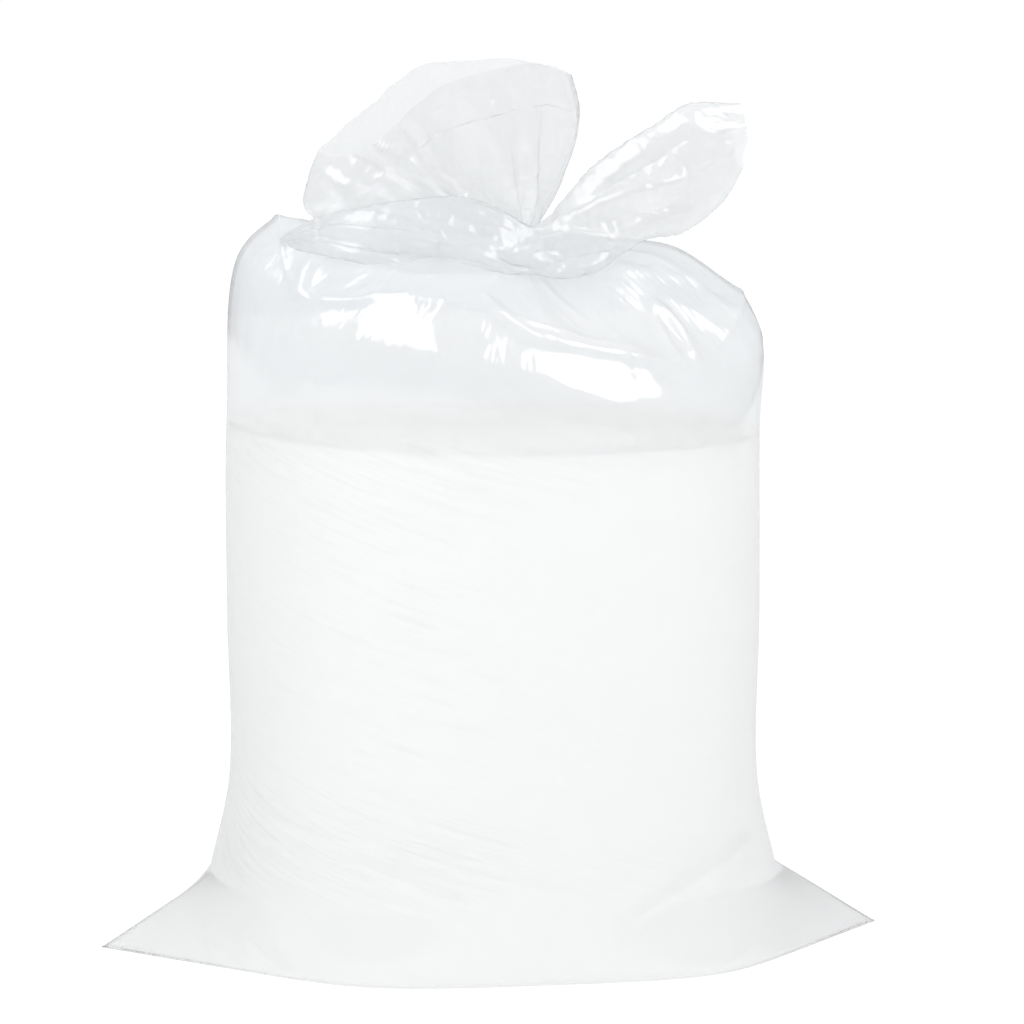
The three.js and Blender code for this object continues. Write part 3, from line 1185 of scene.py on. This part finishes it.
@dataclass
class Studio:
    """Plain pale floor, soft light and the camera."""

    view: PhotoView
    floor_size: float = 16.0
    floor_drop: float = 0.0006
    floor_glow: float = 1.15
    room_light: float = 0.375
    backdrop_light: float = 0.27
    backdrop_seen: float = 1.03
    sky_colour: Point = (0.975, 0.99, 1.0)
    sky_blend: float = 0.3
    lamps: tuple[SoftLamp, ...] = (
        SoftLamp(LampRole.LEFT_TOP, (-1.0, -0.6, 2.6), (-1.0, -0.6, 0), (1.5, 2.2), 54, mirrored=True),
        SoftLamp(LampRole.RIGHT_TOP, (1.6, -0.7, 2.6), (1.6, -0.7, 0), (1.5, 1.7), 48, mirrored=True),
        SoftLamp(LampRole.FRONT, (0, -3.4, 2.6), (0, 0, 0.45), (4.5, 1.6), 78),
        SoftLamp(LampRole.TOP, (0, 0.3, 2.2), (0, 0.3, 0), (3.2, 1.6), 28),
        SoftLamp(LampRole.LEFT_SIDE, (-3.0, -1.0, 1.6), (-0.2, 0, 0.2), (1.6, 1.6), 20),
        SoftLamp(LampRole.RIGHT_SIDE, (3.0, -1.0, 1.6), (0.2, 0, 0.2), (1.6, 1.6), 14),
    )

    def camera(self) -> bpy.types.Object:
        """Place the camera.

        Returns:
            The camera object.
        """
        out = Vector(self.view.axes()[2])
        bpy.ops.object.camera_add(location=Vector(self.view.place()))
        camera = bpy.context.object
        camera.name = "photo_camera"
        camera.rotation_euler = (-out).to_track_quat("-Z", "Y").to_euler()
        camera.data.lens = self.view.focal
        camera.data.sensor_width = self.view.sensor
        bpy.context.scene.camera = camera
        return camera

    def floor(self) -> bpy.types.Object:
        """Lay the floor.

        Returns:
            The floor.
        """
        bpy.ops.mesh.primitive_plane_add(size=self.floor_size, location=(0, 0, -self.floor_drop))
        floor = bpy.context.object
        floor.name = "studio_floor"
        material = bpy.data.materials.new("studio_floor")
        bench = NodeBench(material)
        glow = bench.add("Emission", Color=(1, 1, 1, 1), Strength=self.floor_glow)
        bench.join(glow.outputs[0], bench.add("OutputMaterial").inputs["Surface"])
        floor.data.materials.append(material)
        return floor

    def sky(self) -> None:
        """White backdrop behind the bag, and a dimmer room on the camera's side."""
        world = bpy.data.worlds.new("studio_sky")
        world.use_nodes = True
        nodes, links = world.node_tree.nodes, world.node_tree.links
        back = nodes["Background"]
        place, parts = nodes.new("ShaderNodeTexCoord"), nodes.new("ShaderNodeSeparateXYZ")
        spread, path, mix = (nodes.new("ShaderNode" + kind) for kind in ("MapRange", "LightPath", "Mix"))
        spread.inputs["From Min"].default_value = -self.sky_blend
        spread.inputs["From Max"].default_value = self.sky_blend
        spread.inputs["To Min"].default_value = self.room_light
        spread.inputs["To Max"].default_value = self.backdrop_light
        mix.inputs["B"].default_value = self.backdrop_seen
        links.new(place.outputs["Generated"], parts.inputs[0])
        links.new(parts.outputs["Y"], spread.inputs["Value"])
        links.new(spread.outputs[0], mix.inputs["A"])
        links.new(path.outputs["Is Camera Ray"], mix.inputs["Factor"])
        links.new(mix.outputs["Result"], back.inputs["Strength"])
        back.inputs["Color"].default_value = (*self.sky_colour, 1)
        bpy.context.scene.world = world

    def build(self) -> None:
        """Set up the whole studio."""
        scene = bpy.context.scene
        scene.view_settings.view_transform = "Standard"
        scene.cycles.transparent_max_bounces = 16
        self.camera()
        self.floor()
        for lamp in self.lamps:
            lamp.hang()
        self.sky()


def select_only(piece: bpy.types.Object) -> None:
    """Make one object the selected and active one."""
    bpy.ops.object.select_all(action="DESELECT")
    piece.select_set(True)
    bpy.context.view_layer.objects.active = piece


def sheet_object(name: str, grids: list[FilmGrid]) -> bpy.types.Object:
    """Make one mesh object from stretches of film.

    Args:
        name: Name of the object.
        grids: The stretches, each wrapped round in its columns.

    Returns:
        The object, with a UV map in metres of film and the grids' own attributes.
    """
    vertices: list[FloatArray] = []
    faces: list[tuple[int, ...]] = []
    corner_uv: list[tuple[float, float]] = []
    marks: dict[str, list[FloatArray]] = {"crinkle": [], "wrinkle": []}
    base = 0
    for grid in grids:
        rows, columns, _ = grid.points.shape
        count = rows * columns
        vertices.append(grid.points.reshape(-1, 3))
        run, rise = grid.lengths()
        run = run + grid.zone.value
        for row in range(rows - 1):
            for column in range(columns):
                ahead = (column + 1) % columns
                near, far = base + row * columns, base + (row + 1) * columns
                faces.append((near + column, near + ahead, far + ahead, far + column))
                corner_uv += [
                    (run[column], rise[row]),
                    (run[column + 1], rise[row]),
                    (run[column + 1], rise[row + 1]),
                    (run[column], rise[row + 1]),
                ]
        poles = []
        for closed, row, turn in ((grid.closed_start, 0, -1), (grid.closed_end, rows - 1, 1)):
            if not closed:
                continue
            pole = base + count + len(poles)
            poles.append(row)
            vertices.append(grid.points[row].mean(axis=0, keepdims=True))
            ring = base + row * columns
            for column in range(columns):
                pair = (ring + column, ring + (column + 1) % columns)[::turn]
                faces.append((*pair, pole))
                corner_uv += [(run[column], rise[row])] * 3
        for mark, parts in marks.items():
            values = getattr(grid, mark)
            if values is not None:
                parts += [values.ravel(), *(values[row, :1] for row in poles)]
        base += count + len(poles)
    mesh = bpy.data.meshes.new(name)
    mesh.from_pydata(np.concatenate(vertices).tolist(), [], faces)
    layer = mesh.uv_layers.new(name="FilmUV")
    layer.data.foreach_set("uv", np.array(corner_uv, np.float32).ravel())
    for mark, parts in marks.items():
        if parts:
            attribute = mesh.attributes.new(mark, "FLOAT", "POINT")
            attribute.data.foreach_set("value", np.concatenate(parts).astype(np.float32))
    mesh.update()
    piece = bpy.data.objects.new(name, mesh)
    bpy.context.scene.collection.objects.link(piece)
    return piece


def front_swathe() -> SoftTube:
    """The left shoulder's film, drawn across the front of the knot and out as the right ear."""
    return SoftTube(
        first_edge=(
            (-0.214, -0.030, 0.706),
            (-0.184, -0.036, 0.722),
            (-0.150, -0.048, 0.735),
            (-0.103, -0.055, 0.744),
            (-0.032, -0.055, 0.744),
            (0.003, -0.060, 0.734),
            (0.028, -0.058, 0.722),
            (0.048, -0.048, 0.729),
            (0.061, -0.045, 0.743),
            (0.096, -0.040, 0.775),
            (0.152, -0.035, 0.813),
            (0.190, -0.030, 0.836),
            (0.242, -0.025, 0.834),
        ),
        second_edge=(
            (-0.213, -0.038, 0.703),
            (-0.188, -0.078, 0.699),
            (-0.150, -0.106, 0.692),
            (-0.073, -0.105, 0.680),
            (-0.015, -0.108, 0.680),
            (0.000, -0.105, 0.676),
            (0.024, -0.100, 0.674),
            (0.072, -0.095, 0.674),
            (0.100, -0.082, 0.686),
            (0.142, -0.062, 0.706),
            (0.183, -0.047, 0.711),
            (0.224, -0.035, 0.740),
            (0.245, -0.025, 0.773),
        ),
        mouth=(),
        puff=(0.002, 0.016, 0.022, 0.022, 0.022, 0.026, 0.04, 0.046, 0.03),
        blunt=1.0,
        zone=FilmZone.SWATHE,
        rows=140,
        columns=110,
    )


def left_ear() -> SoftTube:
    """The right shoulder's film, drawn behind the knot and out as the tall left ear."""
    return SoftTube(
        first_edge=(
            (0.010, -0.015, 0.705),
            (-0.095, -0.012, 0.714),
            (-0.165, -0.006, 0.722),
            (-0.184, 0.0, 0.738),
            (-0.182, 0.0, 0.762),
            (-0.173, 0.0, 0.790),
        ),
        second_edge=(
            (0.030, -0.015, 0.705),
            (0.045, -0.012, 0.724),
            (0.060, -0.006, 0.750),
            (0.080, 0.0, 0.805),
            (0.083, 0.0, 0.835),
            (0.076, 0.0, 0.864),
        ),
        mouth=((-0.118, 0.0, 0.834), (-0.064, 0.0, 0.872), (-0.012, 0.0, 0.878), (0.037, 0.0, 0.879)),
        puff=(0.04, 0.07, 0.1, 0.115, 0.11),
        blunt=1.5,
        zone=FilmZone.LEFT_EAR,
        rows=90,
        columns=130,
        mouth_drop=0.030,
        mouth_start=0.3,
    )


def main() -> None:
    """Load the frame, build the bag and the studio, and report each piece."""
    logging.basicConfig(level=logging.INFO, format="%(name)s: %(message)s")
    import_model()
    body, view = FilmBody(), PhotoView()
    # The ears' copy of the same film has a darker milk colour and a darker edge tint: painted shade that
    # greys the ears and darkens their outlines.
    gathered = MilkyFilm(
        name="blown_milky_film_gathered_painted_shade",
        colour=(0.885, 0.889, 0.895),
        clear_colour=(0.974, 0.980, 0.986),
        edge_tint_and_shade=(0.55, 0.58, 0.61),
        haze=0.5,
        edge_haze=0.45,
        gloss_floor=0.038,
    )
    film, ears = FilmBag(body, front_swathe(), left_ear(), view, MilkyFilm(), gathered).build()
    for piece in (film, ears):
        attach(piece, "root")
        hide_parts("bag_film")
        LOG.info("%s: %d faces", piece.name, len(piece.data.polygons))
    fill = BeadFill(body, PolystyreneBeads())
    packed = fill.build()
    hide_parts("bead_fill")
    for piece in (packed, fill.loose_top(packed.data.materials[0])):
        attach(piece, "root")
        LOG.info("%s: %d faces", piece.name, len(piece.data.polygons))
    Studio(view).build()


if __name__ == "__main__":
    main()
